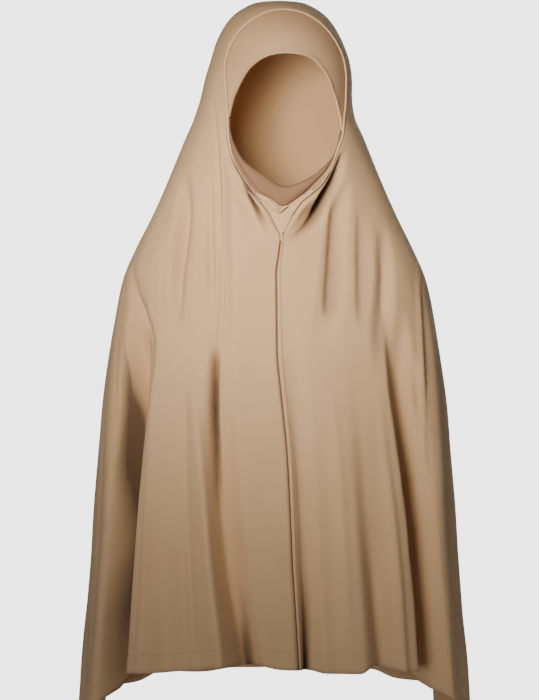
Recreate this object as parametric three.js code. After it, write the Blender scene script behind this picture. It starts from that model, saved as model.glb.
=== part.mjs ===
import * as THREE from "three";

// A khimar veil as it is worn: one long cloth with a face opening, a band round the face inside it,
// a rolled edge along the opening and a gusset at the throat.
// Lengths are in millimetres and angles in degrees. +Z is up, the face looks along -Y and +X is at
// the viewer's right. The zero point is the inner crown, where the head carries the cloth.

// Hood
const headWidth = 184;
const headDepth = 196;
const chinDrop = 225;

// Cape
const shoulderWidth = 378;
const shoulderDrop = 346;
const chestDepth = 210;
const hemWidth = 490;
const hemDepth = 302;
const hemDrop = 905;
const foldDepth = 56;

// Cloth
const wall = 1.6;
const bandWall = 2.2;
const chinRoll = 4.5;
const edgeWidth = 3.2;
const edgeHeight = 2.6;
const underlap = 5;
const clearance = 0.8;
const tuckWidth = 10;
const tuckRim = 2;
const tuckHeight = 5;
const jointGap = 0.4;
const chinFullWidth = 14;
const foldStart = 14;

// Places round the face, in degrees from its foot: the side joints of the two bands, the sides of
// the gusset, the ends of its tuck and the point of the rolled edge
const jointAngle = 104;
const insertAngle = 42;
const tuckStartAngle = -25;
const tuckEndAngle = 8;
const tuckTaperAngle = 14;
const throatAngle = 12;

// How finely each cloth is cut into faces
const columns = 88;
const rows = 21;
const frontCrowding = 0.38;
const rowCrowding = 1.35;

// Level sections from the crown down. The drop, half widths and half depths are shares of the sizes
// of their zone, square is the section's exponent and lean moves it towards the viewer's right.
const SECTIONS = [
  { zone: "hood", drop: 0, wide: 0, front: 0, back: 0, square: 2, lean: 0.054 },
  { zone: "hood", drop: 0.009, wide: 0.337, front: 0.306, back: 0.337, square: 2, lean: 0.054 },
  { zone: "hood", drop: 0.036, wide: 0.489, front: 0.469, back: 0.51, square: 2, lean: 0.054 },
  { zone: "hood", drop: 0.091, wide: 0.663, front: 0.653, back: 0.704, square: 2, lean: 0.056 },
  { zone: "hood", drop: 0.204, wide: 0.837, front: 0.847, back: 0.908, square: 2, lean: 0.061 },
  { zone: "hood", drop: 0.316, wide: 0.935, front: 0.929, back: 0.99, square: 2, lean: 0.07 },
  { zone: "hood", drop: 0.427, wide: 1, front: 0.959, back: 1.031, square: 2, lean: 0.049 },
  { zone: "hood", drop: 0.538, wide: 1.033, front: 0.969, back: 1.041, square: 2, lean: 0.016 },
  { zone: "hood", drop: 0.649, wide: 1.098, front: 0.959, back: 1.041, square: 2, lean: -0.005 },
  { zone: "hood", drop: 0.76, wide: 1.217, front: 0.939, back: 1.031, square: 2, lean: 0 },
  { zone: "hood", drop: 0.871, wide: 1.326, front: 0.918, back: 1.02, square: 2, lean: 0 },
  { zone: "hood", drop: 1, wide: 1.457, front: 0.883, back: 1.01, square: 2, lean: 0 },
  { zone: "neck", drop: 0.38, wide: 0.82, front: 0.79, back: 0.962, square: 2.05, lean: 0 },
  { zone: "neck", drop: 0.69, wide: 0.918, front: 0.83, back: 1.02, square: 2.13, lean: 0 },
  { zone: "neck", drop: 1, wide: 1, front: 0.905, back: 1.095, square: 2.2, lean: 0 },
  { zone: "cape", drop: 0.089, wide: 0.816, front: 0.709, back: 0.808, square: 2.25, lean: 0 },
  { zone: "cape", drop: 0.179, wide: 0.849, front: 0.768, back: 0.841, square: 2.3, lean: 0 },
  { zone: "cape", drop: 0.313, wide: 0.886, front: 0.815, back: 0.874, square: 2.3, lean: 0 },
  { zone: "cape", drop: 0.671, wide: 0.947, front: 0.894, back: 0.947, square: 2.3, lean: 0 },
  { zone: "cape", drop: 1, wide: 1, front: 0.966, back: 1.02, square: 2.3, lean: 0 },
];
const ZONES = {
  hood: { above: 0, tall: chinDrop, wide: headWidth / 2, deep: headDepth / 2 },
  neck: {
    above: chinDrop,
    tall: shoulderDrop - chinDrop,
    wide: shoulderWidth / 2,
    deep: chestDepth / 2,
  },
  cape: {
    above: shoulderDrop,
    tall: hemDrop - shoulderDrop,
    wide: hemWidth / 2,
    deep: hemDepth / 2,
  },
};

// Front edge of the cloth from the top of the arch to the point of the V: the drop as a share of
// the chin's, and how far the edge has turned from the front on either side.
const CLOTH_EDGE = [
  { drop: 0.064, left: 0, right: 0 },
  { drop: 0.071, left: -12, right: 15 },
  { drop: 0.084, left: -22, right: 26 },
  { drop: 0.107, left: -31, right: 35 },
  { drop: 0.138, left: -39, right: 43 },
  { drop: 0.182, left: -47, right: 50 },
  { drop: 0.231, left: -52, right: 55 },
  { drop: 0.293, left: -56, right: 59 },
  { drop: 0.356, left: -56, right: 61 },
  { drop: 0.44, left: -52, right: 62 },
  { drop: 0.524, left: -47.5, right: 62 },
  { drop: 0.609, left: -43, right: 59 },
  { drop: 0.676, left: -40, right: 53 },
  { drop: 0.769, left: -36, right: 44.5 },
  { drop: 0.862, left: -31, right: 36 },
  { drop: 0.956, left: -24, right: 28.5 },
  { drop: 1.036, left: -17.5, right: 21.5 },
  { drop: 1.08, left: -13.5, right: 16 },
  { drop: 1.129, left: -10, right: 10 },
  { drop: 1.173, left: -6.7, right: 7 },
  { drop: 1.227, left: -3.8, right: 4 },
  { drop: 1.324, left: 0, right: 0 },
];

// Face opening inside the bands, written the same way
const FACE_EDGE = [
  { drop: 0.327, left: 0, right: 0 },
  { drop: 0.334, left: -11, right: 13 },
  { drop: 0.356, left: -20, right: 22 },
  { drop: 0.404, left: -28.5, right: 31 },
  { drop: 0.458, left: -33, right: 38 },
  { drop: 0.516, left: -36, right: 43 },
  { drop: 0.573, left: -38, right: 47.5 },
  { drop: 0.644, left: -38, right: 49.5 },
  { drop: 0.702, left: -36.5, right: 47.5 },
  { drop: 0.764, left: -33.3, right: 42 },
  { drop: 0.831, left: -28.2, right: 37 },
  { drop: 0.889, left: -23.2, right: 31 },
  { drop: 0.942, left: -16.5, right: 24 },
  { drop: 0.996, left: -8, right: 15.5 },
  { drop: 1.048, left: 2, right: 2 },
];

// Lower edge of the chin band, from its left end down and round to its right end
const CHIN_EDGE = [
  { drop: 0.6, turn: -46 },
  { drop: 0.8, turn: -36 },
  { drop: 0.99, turn: -22 },
  { drop: 1.067, turn: -14 },
  { drop: 1.112, turn: -5 },
  { drop: 1.15, turn: 1 },
  { drop: 1.1, turn: 9 },
  { drop: 1.035, turn: 17 },
  { drop: 0.93, turn: 29 },
  { drop: 0.77, turn: 45 },
  { drop: 0.6, turn: 60 },
];

// Hem: how far round from the front, and the drop as a share of the hem's
const HEM = [
  { turn: -180, drop: 0.938 },
  { turn: -150, drop: 0.94 },
  { turn: -125, drop: 0.955 },
  { turn: -105, drop: 0.985 },
  { turn: -90, drop: 1 },
  { turn: -75, drop: 0.99 },
  { turn: -66, drop: 0.965 },
  { turn: -58, drop: 0.935 },
  { turn: -50, drop: 0.911 },
  { turn: -34, drop: 0.908 },
  { turn: -12, drop: 0.897 },
  { turn: 4, drop: 0.905 },
  { turn: 20, drop: 0.91 },
  { turn: 27, drop: 0.9 },
  { turn: 42, drop: 0.912 },
  { turn: 50, drop: 0.935 },
  { turn: 60, drop: 0.965 },
  { turn: 75, drop: 0.99 },
  { turn: 90, drop: 1 },
  { turn: 105, drop: 0.985 },
  { turn: 125, drop: 0.955 },
  { turn: 150, drop: 0.94 },
  { turn: 180, drop: 0.938 },
];

// Folds: four stations down each one, with the drop as a share of the hem's, the turn of its middle
// line and its depth as a share of the deepest. Wide is the half width in degrees, deep is positive
// for a ridge, sharp is 1 for a crease and 4 for a flat floor, and roll pushes it sideways.
const FOLDS = [
  {
    name: "left throat crease",
    drop: [0.2, 0.25, 0.285, 0.33],
    turn: [-36, -26, -19, -11],
    deep: [0, -0.22, -0.3, 0],
    wide: 6.5,
    sharp: 1.5,
    roll: 0,
  },
  {
    name: "right throat crease",
    drop: [0.2, 0.25, 0.285, 0.34],
    turn: [43, 29.5, 20, 4],
    deep: [0, -0.28, -0.4, 0],
    wide: 7,
    sharp: 1.5,
    roll: 0,
  },
  {
    name: "left cheek fold",
    drop: [0.12, 0.22, 0.3, 0.48],
    turn: [-62, -35, -26, -20],
    deep: [0, 0.05, 0.07, 0],
    wide: 4,
    sharp: 1.5,
    roll: 0,
  },
  {
    name: "left breast valley",
    drop: [0.4, 0.58, 0.76, 0.92],
    turn: [-21, -20, -16, -10.5],
    deep: [0, -0.24, -0.4, -0.45],
    wide: 5.5,
    sharp: 1.6,
    roll: 0.3,
  },
  {
    name: "left breast ridge",
    drop: [0.38, 0.58, 0.76, 0.92],
    turn: [-27, -26.5, -23.5, -18],
    deep: [0, 0.16, 0.24, 0.28],
    wide: 6,
    sharp: 2,
    roll: 0.3,
  },
  {
    name: "left chest hollow",
    drop: [0.23, 0.31, 0.37, 0.5],
    turn: [-62, -47, -41, -38],
    deep: [0, -0.12, -0.12, 0],
    wide: 8,
    sharp: 2,
    roll: 0,
  },
  {
    name: "left shoulder fold",
    drop: [0.35, 0.41, 0.46, 0.53],
    turn: [-78, -61, -49, -46],
    deep: [0, -0.12, -0.14, 0],
    wide: 6,
    sharp: 1.5,
    roll: 0,
  },
  {
    name: "left side valley",
    drop: [0.38, 0.54, 0.72, 0.93],
    turn: [-62, -54.5, -55, -56],
    deep: [0, -0.7, -1, -0.95],
    wide: 7,
    sharp: 3,
    roll: 0.1,
  },
  {
    name: "left arm crease",
    drop: [0.44, 0.6, 0.78, 0.95],
    turn: [-80, -68, -64, -65],
    deep: [0, 0.06, 0.1, 0.1],
    wide: 5,
    sharp: 1.5,
    roll: 0,
  },
  {
    name: "left panel hollow",
    drop: [0.6, 0.74, 0.84, 0.93],
    turn: [-38, -37, -36, -35],
    deep: [0, -0.1, -0.14, -0.16],
    wide: 7,
    sharp: 2,
    roll: 0,
  },
  {
    name: "seam valley",
    drop: [0.38, 0.56, 0.74, 0.92],
    turn: [1, 4.5, 6, 7.5],
    deep: [0, -0.07, -0.15, -0.3],
    wide: 5,
    sharp: 2,
    roll: 0,
  },
  {
    name: "right chest hollow",
    drop: [0.24, 0.3, 0.38, 0.48],
    turn: [40, 27, 19, 14],
    deep: [0, -0.1, -0.1, 0],
    wide: 6,
    sharp: 2,
    roll: 0,
  },
  {
    name: "right shoulder fold",
    drop: [0.3, 0.36, 0.44, 0.52],
    turn: [54, 44, 37, 34],
    deep: [0, -0.1, -0.12, 0],
    wide: 6,
    sharp: 2,
    roll: 0,
  },
  {
    name: "right breast ridge",
    drop: [0.48, 0.66, 0.8, 0.92],
    turn: [17, 19, 20.5, 22],
    deep: [0, 0.08, 0.16, 0.18],
    wide: 6,
    sharp: 2,
    roll: 0,
  },
  {
    name: "right breast valley",
    drop: [0.54, 0.68, 0.8, 0.92],
    turn: [24, 27, 29, 30],
    deep: [0, -0.12, -0.28, -0.32],
    wide: 6,
    sharp: 2,
    roll: 0,
  },
  {
    name: "right side valley",
    drop: [0.38, 0.55, 0.73, 0.93],
    turn: [51, 44, 46, 48],
    deep: [0, -0.62, -0.92, -0.92],
    wide: 6.5,
    sharp: 3,
    roll: -0.1,
  },
  {
    name: "right arm ridge",
    drop: [0.38, 0.53, 0.74, 0.93],
    turn: [70, 60.5, 56.5, 57],
    deep: [0, 0.08, 0.12, 0.12],
    wide: 5,
    sharp: 1.5,
    roll: 0,
  },
];

// The back hangs in even folds, this many on either side of its middle
const backFolds = 3;
const backFold = {
  from: 112,
  apart: 24,
  wide: 11,
  drop: [0.36, 0.58, 0.8, 1],
  deep: [0, -0.2, -0.34, -0.4],
};
for (let i = 0; i < backFolds; i += 1)
  for (const side of [-1, 1]) {
    const turn = side * (backFold.from + i * backFold.apart);
    FOLDS.push({ ...backFold, name: `back fold ${i}`, turn: Array(4).fill(turn), sharp: 2, roll: 0 });
  }

const rad = THREE.MathUtils.degToRad;
const deg = THREE.MathUtils.radToDeg;
const mix = THREE.MathUtils.lerp;
const clamp01 = (x) => Math.min(1, Math.max(0, x));
const soft = (x) => clamp01(x) ** 2 * (3 - 2 * clamp01(x));
const steps = (from, to, count) => Array.from({ length: count + 1 }, (_, i) => mix(from, to, i / count));

// A smooth curve through the points (xs, ys) that never overshoots them
function curve(xs, ys, firstSlope, lastSlope) {
  const last = xs.length - 1;
  const rise = ys.slice(1).map((y, i) => (y - ys[i]) / (xs[i + 1] - xs[i]));
  const slope = xs.map((_, i) => {
    if (i === 0) return firstSlope ?? rise[0];
    if (i === last) return lastSlope ?? rise[last - 1];
    if (rise[i - 1] * rise[i] <= 0) return 0;
    const before = xs[i] - xs[i - 1];
    const after = xs[i + 1] - xs[i];
    const near = 2 * after + before;
    const far = after + 2 * before;
    return (near + far) / (near / rise[i - 1] + far / rise[i]);
  });
  return (value) => {
    const x = Math.min(xs[last], Math.max(xs[0], value));
    let i = 0;
    while (i < last - 1 && x > xs[i + 1]) i += 1;
    const step = xs[i + 1] - xs[i];
    const t = (x - xs[i]) / step;
    return (
      (1 + 2 * t) * (1 - t) ** 2 * ys[i] +
      t * (1 - t) ** 2 * step * slope[i] +
      t * t * (3 - 2 * t) * ys[i + 1] +
      t * t * (t - 1) * step * slope[i + 1]
    );
  };
}

// The plain form of the cloth, before its folds. A point on it is named by its reach, the way down
// the side from the crown, and its turn from the front.
const sections = SECTIONS.map((row) => {
  const zone = ZONES[row.zone];
  return {
    drop: zone.above + row.drop * zone.tall,
    wide: row.wide * zone.wide,
    front: row.front * zone.deep,
    back: row.back * zone.deep,
    square: row.square,
    lean: row.lean * zone.wide,
  };
});
const reaches = [0];
for (let i = 1; i < sections.length; i += 1) {
  const [a, b] = [sections[i - 1], sections[i]];
  reaches.push(reaches[i - 1] + Math.hypot(b.drop - a.drop, b.wide - a.wide));
}
const column = (key, firstSlope) => curve(reaches, sections.map((row) => row[key]), firstSlope);
const dropAt = column("drop", 0);
const wideAt = column("wide");
const frontAt = column("front");
const backAt = column("back");
const squareAt = column("square", 0);
const leanAt = column("lean", 0);

function reachOf(drop) {
  let [low, high] = [0, reaches.at(-1)];
  for (let i = 0; i < 40; i += 1) {
    const middle = (low + high) / 2;
    if (dropAt(middle) < drop) low = middle;
    else high = middle;
  }
  return (low + high) / 2;
}

// The cloth spread flat about its crown: x and y are the reach laid out in the direction of the turn
const spread = (reach, turn) => ({ x: reach * Math.sin(rad(turn)), y: -reach * Math.cos(rad(turn)) });

function plainPoint(x, y) {
  const reach = Math.max(1e-6, Math.hypot(x, y));
  const [side, ahead] = [x / reach, -y / reach];
  const power = squareAt(reach);
  const round = (Math.abs(side) ** power + Math.abs(ahead) ** power) ** (-1 / power);
  const depth = ahead > 0 ? frontAt(reach) : backAt(reach);
  return new THREE.Vector3(
    wideAt(reach) * round * side + leanAt(reach),
    -depth * round * ahead,
    wall - dropAt(reach),
  );
}

const nudge = 0.5;
function normalOf(surface, x, y) {
  const across = surface(x + nudge, y).sub(surface(x - nudge, y));
  const along = surface(x, y + nudge).sub(surface(x, y - nudge));
  return across.cross(along).normalize();
}

const foldLines = FOLDS.map((fold) => {
  const drops = fold.drop.map((share) => share * hemDrop);
  return {
    ...fold,
    start: drops[0],
    turnAt: curve(drops, fold.turn),
    deepAt: curve(drops, fold.deep.map((share) => share * foldDepth), 0),
  };
});

// How far the folds push the cloth out, and sideways, at a place on it
function foldPush(drop, turn) {
  let [out, sideways] = [0, 0];
  for (const fold of foldLines) {
    if (drop <= fold.start) continue;
    let away = turn - fold.turnAt(drop);
    if (away > 180) away -= 360;
    if (away < -180) away += 360;
    const u = Math.abs(away) / fold.wide;
    if (u >= 1) continue;
    const push = fold.deepAt(drop) * (1 - u ** fold.sharp) ** 2;
    out += push;
    sideways += Math.abs(push) * fold.roll;
  }
  return { out, sideways };
}

// Loops round the face are found by their distance from its middle, in the spread cloth
const faceMiddle = reachOf(0.62 * chinDrop);
const angleOf = ({ x, y }) => deg(Math.atan2(x, -(y + faceMiddle)));
const distanceOf = ({ x, y }) => Math.hypot(x, y + faceMiddle);
const facePlace = (angle, distance) => ({
  x: distance * Math.sin(rad(angle)),
  y: -faceMiddle - distance * Math.cos(rad(angle)),
});

function loopDistance(places) {
  const sorted = places.map((p) => [angleOf(p), distanceOf(p)]).sort((a, b) => a[0] - b[0]);
  const [first, last] = [sorted[0], sorted.at(-1)];
  const around = [[last[0] - 360, last[1]], ...sorted, [first[0] + 360, first[1]]];
  return (angle) => {
    let i = 0;
    while (i < around.length - 2 && angle > around[i + 1][0]) i += 1;
    const t = (angle - around[i][0]) / (around[i + 1][0] - around[i][0]);
    return mix(around[i][1], around[i + 1][1], t);
  };
}

// A loop through the rows of a table, closed by a level or a pointed end
const finePoints = 200;
function edgeLoop(table, turnKeys, ends) {
  const index = table.map((_, i) => i);
  const drop = curve(index, table.map((row) => row.drop * chinDrop), ends.top, ends.foot);
  const places = [];
  for (const key of turnKeys) {
    const turn = curve(index, table.map((row) => row[key]));
    for (let i = 1; i < finePoints; i += 1) {
      const t = (i / finePoints) * (table.length - 1);
      places.push(spread(reachOf(drop(t)), turn(t)));
    }
  }
  return loopDistance(places);
}
const clothEdge = edgeLoop(CLOTH_EDGE, ["left", "right"], { top: 0 });
const faceEdge = edgeLoop(FACE_EDGE, ["left", "right"], { top: 0, foot: 0 });
const chinEdge = edgeLoop(CHIN_EDGE, ["turn"], {});

// The cloth's front edge in space: where it is, the way in towards the face, and the way out
function edgeFrame(angle) {
  const at = (a) => {
    const { x, y } = facePlace(a, clothEdge(a));
    return plainPoint(x, y);
  };
  const { x, y } = facePlace(angle, clothEdge(angle));
  const outward = normalOf(plainPoint, x, y);
  const onward = at(angle + 1).sub(at(angle - 1)).normalize();
  const inward = outward.clone().cross(onward).normalize();
  return { place: { x, y }, point: at(angle), outward, inward };
}

// The place on the spread cloth that lies this way from another one in space
function placeTowards({ x, y }, way) {
  const across = plainPoint(x + nudge, y).sub(plainPoint(x - nudge, y));
  const along = plainPoint(x, y + nudge).sub(plainPoint(x, y - nudge));
  const [a, b, c] = [across.dot(across), across.dot(along), along.dot(along)];
  const [u, v] = [across.dot(way), along.dot(way)];
  const scale = (2 * nudge) / (a * c - b * b);
  return { x: x + (c * u - b * v) * scale, y: y + (a * v - b * u) * scale };
}

// A loop at a true distance inside (or, if less than zero, outside) the cloth's front edge
function edgeOffset(inside) {
  const places = steps(throatAngle, 360 - throatAngle, finePoints).map((a) => {
    const { place, inward } = edgeFrame(a > 180 ? a - 360 : a);
    return placeTowards(place, inward.multiplyScalar(inside));
  });
  return loopDistance(places);
}

const hemShare = curve(HEM.map((row) => row.turn), HEM.map((row) => row.drop), 0);
const hemReach = (turn) => reachOf(hemShare(turn) * hemDrop);

// A place between the cloth's front edge (along = 0) and its hem (along = 1). The columns
// start square to the face and end as plumb lines.
function clothPlace(angle, along) {
  const middle = faceMiddle * (1 - along) ** 2;
  const distance = mix(clothEdge(angle), hemReach(angle), along);
  return { x: distance * Math.sin(rad(angle)), y: -middle - distance * Math.cos(rad(angle)) };
}

// The worn cloth with its folds. They start where it no longer lies on the bands.
const underLoop = edgeOffset(-underlap);
const underEdge = (angle) => Math.max(underLoop(angle), clothEdge(angle) + underlap);
function clothPoint(x, y) {
  const reach = Math.hypot(x, y);
  const turn = deg(Math.atan2(x, -y));
  const point = plainPoint(x, y);
  const outward = normalOf(plainPoint, x, y);
  const sideways = new THREE.Vector3(-outward.y, outward.x, 0);
  const fromEdge = distanceOf({ x, y }) - underEdge(angleOf({ x, y }));
  const push = foldPush(dropAt(reach), turn);
  const share = soft(fromEdge / foldStart);
  return point.addScaledVector(outward, push.out * share).addScaledVector(sideways, push.sideways * share);
}

function solid(name, colour, points, faces) {
  const geometry = new THREE.BufferGeometry().setFromPoints(points).setIndex(faces);
  geometry.computeVertexNormals();
  const mesh = new THREE.Mesh(geometry, new THREE.MeshStandardMaterial({ color: colour, roughness: 0.9 }));
  mesh.name = name;
  return mesh;
}

// A closed solid from an outer and an inner grid of points, joined all along their rims
function shell(name, colour, outer, inner, closed) {
  const [wide, tall] = [outer.length, outer[0].length];
  const at = (side, i, j) => (side * wide + (i % wide)) * tall + j;
  const faces = [];
  const quad = (a, b, c, d) => faces.push(a, b, c, a, c, d);
  const last = closed ? wide : wide - 1;
  for (let i = 0; i < last; i += 1) {
    for (let j = 0; j < tall - 1; j += 1) {
      quad(at(0, i, j), at(0, i, j + 1), at(0, i + 1, j + 1), at(0, i + 1, j));
      quad(at(1, i, j), at(1, i + 1, j), at(1, i + 1, j + 1), at(1, i, j + 1));
    }
    quad(at(0, i, 0), at(0, i + 1, 0), at(1, i + 1, 0), at(1, i, 0));
    quad(at(0, i, tall - 1), at(1, i, tall - 1), at(1, i + 1, tall - 1), at(0, i + 1, tall - 1));
  }
  if (!closed)
    for (let j = 0; j < tall - 1; j += 1) {
      quad(at(0, 0, j), at(1, 0, j), at(1, 0, j + 1), at(0, 0, j + 1));
      quad(at(0, last, j), at(0, last, j + 1), at(1, last, j + 1), at(1, last, j));
    }
  return solid(name, colour, [...outer.flat(), ...inner.flat()], faces);
}

// A closed tube through rings of points, capped at both ends
function tube(name, colour, rings) {
  const sides = rings[0].length;
  const at = (i, j) => i * sides + (j % sides);
  const last = rings.length - 1;
  const faces = [];
  for (let i = 0; i < last; i += 1)
    for (let j = 0; j < sides; j += 1)
      faces.push(at(i, j), at(i + 1, j), at(i + 1, j + 1), at(i, j), at(i + 1, j + 1), at(i, j + 1));
  for (let j = 1; j < sides - 1; j += 1) {
    faces.push(at(0, 0), at(0, j), at(0, j + 1));
    faces.push(at(last, 0), at(last, j + 1), at(last, j));
  }
  return solid(name, colour, rings.flat(), faces);
}

// Columns stand closer together at the front, where the folds are
const columnAngles = steps(0, 1, columns)
  .slice(0, columns)
  .map((s) => 360 * (s - (frontCrowding * Math.sin(2 * Math.PI * s)) / (2 * Math.PI)))
  .map((angle) => (angle > 180 ? angle - 360 : angle));

function veil() {
  const alongs = steps(0, 1, rows).map((s) => s ** rowCrowding);
  const outer = [];
  const inner = [];
  for (const angle of columnAngles) {
    const places = alongs.map((along) => clothPlace(angle, along));
    const front = places.map(({ x, y }) => clothPoint(x, y));
    const normals = places.map(({ x, y }) => normalOf(clothPoint, x, y));
    outer.push(front);
    inner.push(front.map((point, i) => point.clone().addScaledVector(normals[i], -wall)));
  }
  return shell("veil", 0xc9a98b, outer, inner, true);
}

// A point over or under the plain form, at an angle and distance from the middle of the face
function bandPoint(angle, distance, lift) {
  const { x, y } = facePlace(angle, distance);
  return plainPoint(x, y).addScaledVector(normalOf(plainPoint, x, y), lift);
}

// A band between two loops round the face. The top and bottom give its lift at each share across.
function band(name, colour, angles, from, to, count, top, bottom) {
  const shares = steps(0, 1, count);
  const place = (angle, v, lift) => bandPoint(angle, mix(from(angle), to(angle), v), lift(angle, v));
  const grid = (lift) => angles.map((angle) => shares.map((v) => place(angle, v, lift)));
  return shell(name, colour, grid(top), grid(bottom), false);
}

const insertFrom = (angle) => chinEdge(angle) - underlap;
const bandTop = -wall - clearance;
const bandFoot = bandTop - bandWall;
const tuckFoot = bandTop + clearance;
const freeEdge = edgeOffset(edgeWidth + 2 * clearance);
const wrapped = (angle) => (angle > 180 ? angle - 360 : angle);

// The columns between two angles, with one at each end
function columnsBetween(low, high) {
  const turned = columnAngles.flatMap((a) => [a - 360, a, a + 360]).sort((a, b) => a - b);
  return [low, ...turned.filter((a) => a > low + 1 && a < high - 1), high];
}

// The forehead band runs under the hood's edge, from one side joint over the brow to the other
function foreheadBand() {
  return band(
    "forehead_band",
    0xd3b598,
    columnsBetween(jointAngle + jointGap, 360 - jointAngle - jointGap),
    (a) => faceEdge(wrapped(a)),
    (a) => underEdge(wrapped(a)),
    4,
    () => bandTop,
    () => bandFoot,
  );
}

// The chin band is a soft roll below the face. At its sides it runs under the cloth's edge.
function chinBand() {
  const outside = (a) => Math.min(underEdge(a), chinEdge(a));
  const rollAt = (a, v) => {
    const width = Math.min(freeEdge(a), chinEdge(a)) - faceEdge(a);
    const share = ((outside(a) - faceEdge(a)) * v) / Math.max(1, width);
    return share < 1 ? chinRoll * soft(width / chinFullWidth) * Math.sin(Math.PI * share) ** 0.7 : 0;
  };
  return band(
    "chin_band",
    0xd3b598,
    columnsBetween(-jointAngle + jointGap, jointAngle - jointGap),
    faceEdge,
    outside,
    5,
    (a, v) => bandTop + rollAt(a, v),
    () => bandFoot,
  );
}

// The gusset fills the V below the chin band, under both the band and the cloth
function neckInsert() {
  const top = (a, v) => {
    const distance = mix(insertFrom(a), underEdge(a), v);
    return mix(bandFoot - clearance, bandTop, soft((distance - chinEdge(a) - underlap) / tuckWidth));
  };
  return band(
    "neck_insert",
    0xc29f80,
    columnsBetween(-insertAngle, insertAngle),
    insertFrom,
    underEdge,
    4,
    top,
    (a, v) => top(a, v) - wall,
  );
}

// A crumpled tuck of the gusset's cloth lies below the left half of the chin band
function throatTuck() {
  const swell = (a) =>
    soft((a - tuckStartAngle) / tuckTaperAngle) * soft((tuckEndAngle - a) / tuckTaperAngle);
  const from = (a) => chinEdge(a) + clearance;
  const to = (a) => Math.min(from(a) + tuckRim + tuckWidth * swell(a), freeEdge(a));
  // The crumple runs slantwise along the tuck
  const crumple = (a, v) => 0.75 + 0.25 * Math.cos(rad(30 * a + 300 * v));
  const rise = (a, v) => tuckHeight * swell(a) * Math.sin(Math.PI * v) * crumple(a, v);
  return band(
    "throat_tuck",
    0xc29f80,
    columnsBetween(tuckStartAngle, tuckEndAngle),
    from,
    to,
    5,
    (a, v) => tuckFoot + clearance + rise(a, v),
    () => tuckFoot,
  );
}

// The rolled edge lies against the cloth's front edge, from one side of the V over the hood
function edgePiping() {
  const sides = 6;
  const ring = steps(0, -2 * Math.PI, sides).slice(0, sides);
  const angles = columnsBetween(throatAngle, 360 - throatAngle).map(wrapped);
  const loops = angles.map((angle) => {
    const { point, inward, outward } = edgeFrame(angle);
    const middle = point
      .addScaledVector(inward, edgeWidth / 2 + clearance)
      .addScaledVector(outward, edgeHeight / 2 - wall);
    return ring.map((t) =>
      middle
        .clone()
        .addScaledVector(inward, (edgeWidth / 2) * Math.cos(t))
        .addScaledVector(outward, (edgeHeight / 2) * Math.sin(t)),
    );
  });
  return tube("edge_piping", 0xe2c8ac, loops);
}

const group = new THREE.Group();
group.add(veil(), foreheadBand(), chinBand(), neckInsert(), throatTuck(), edgePiping());
export default group;
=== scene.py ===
import math

import bpy
import numpy as np
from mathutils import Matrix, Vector


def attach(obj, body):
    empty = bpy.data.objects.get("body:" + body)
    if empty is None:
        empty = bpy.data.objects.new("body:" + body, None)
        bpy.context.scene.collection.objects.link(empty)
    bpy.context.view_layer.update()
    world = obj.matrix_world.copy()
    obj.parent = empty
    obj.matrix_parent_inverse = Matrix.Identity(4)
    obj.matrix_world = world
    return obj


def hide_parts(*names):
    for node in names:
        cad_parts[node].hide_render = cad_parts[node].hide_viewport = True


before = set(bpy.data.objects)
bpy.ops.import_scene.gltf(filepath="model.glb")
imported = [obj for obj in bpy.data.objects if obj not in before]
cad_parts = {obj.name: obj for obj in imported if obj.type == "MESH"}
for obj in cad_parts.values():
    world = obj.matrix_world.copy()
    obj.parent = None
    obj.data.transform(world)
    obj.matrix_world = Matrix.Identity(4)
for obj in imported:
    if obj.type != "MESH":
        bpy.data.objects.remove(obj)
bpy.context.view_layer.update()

# Studio. The camera stands level with the chest and a little to its left, as the photograph's does,
# before a round pale floor and an even pale backdrop. A narrow warm light falls on the chest from the
# upper left, a low one and a side one fill in the shade, and a broad one stands behind.
camera_away, camera_height, camera_turn = 3.2, -0.433, -5.0
# Metres to a pixel of the photograph, its width in pixels, and the column that the veil's middle is in
pixel, frame_wide, axis_pixel = 0.00125, 539, 275
floor_drop, floor_radius, floor_thickness = 0.93, 0.36, 0.02
backdrop_radius, backdrop_glow = 9, 3.55
sky_glow, sky_colour = 0.12, (0.86, 0.94, 1.0, 1)
warm_white, cool_white, plain_white = (1.0, 0.945, 0.85), (0.93, 0.97, 1.0), (1.0, 0.98, 0.96)


def hex_colour(code):
    """An sRGB hex value as linear red, green, blue and alpha."""
    parts = [int(code[i : i + 2], 16) / 255 for i in (1, 3, 5)]
    linear = [c / 12.92 if c <= 0.04045 else ((c + 0.055) / 1.055) ** 2.4 for c in parts]
    return (*linear, 1.0)


def new_material(name):
    material = bpy.data.materials.new(name)
    material.use_nodes = True
    return material, material.node_tree.nodes["Principled BSDF"]


bpy.ops.object.select_all(action="DESELECT")
turn = math.radians(camera_turn)
camera_way = Vector((math.sin(turn), -math.cos(turn), 0.0))
bpy.ops.object.camera_add(location=Vector((0, 0, camera_height)) + camera_way * camera_away)
camera = bpy.context.object
camera.rotation_euler = (-camera_way).to_track_quat("-Z", "Y").to_euler()
camera.data.sensor_fit = "HORIZONTAL"
camera.data.lens = camera.data.sensor_width * camera_away / (frame_wide * pixel)
camera.data.shift_x = -(axis_pixel - frame_wide / 2) / frame_wide
bpy.context.scene.camera = camera

# Matt floor paint, rolled on: pale and even, with no gloss
floor_paint, floor_shader = new_material("matt floor paint")
floor_shader.inputs["Base Color"].default_value = hex_colour("#dcdcdb")
floor_shader.inputs["Roughness"].default_value = 0.9
bpy.ops.mesh.primitive_cylinder_add(
    vertices=96,
    radius=floor_radius,
    depth=floor_thickness,
    location=(0, 0, -floor_drop - floor_thickness / 2),
)
floor = bpy.context.object
floor.name = "floor"
floor.data.materials.append(floor_paint)

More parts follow.
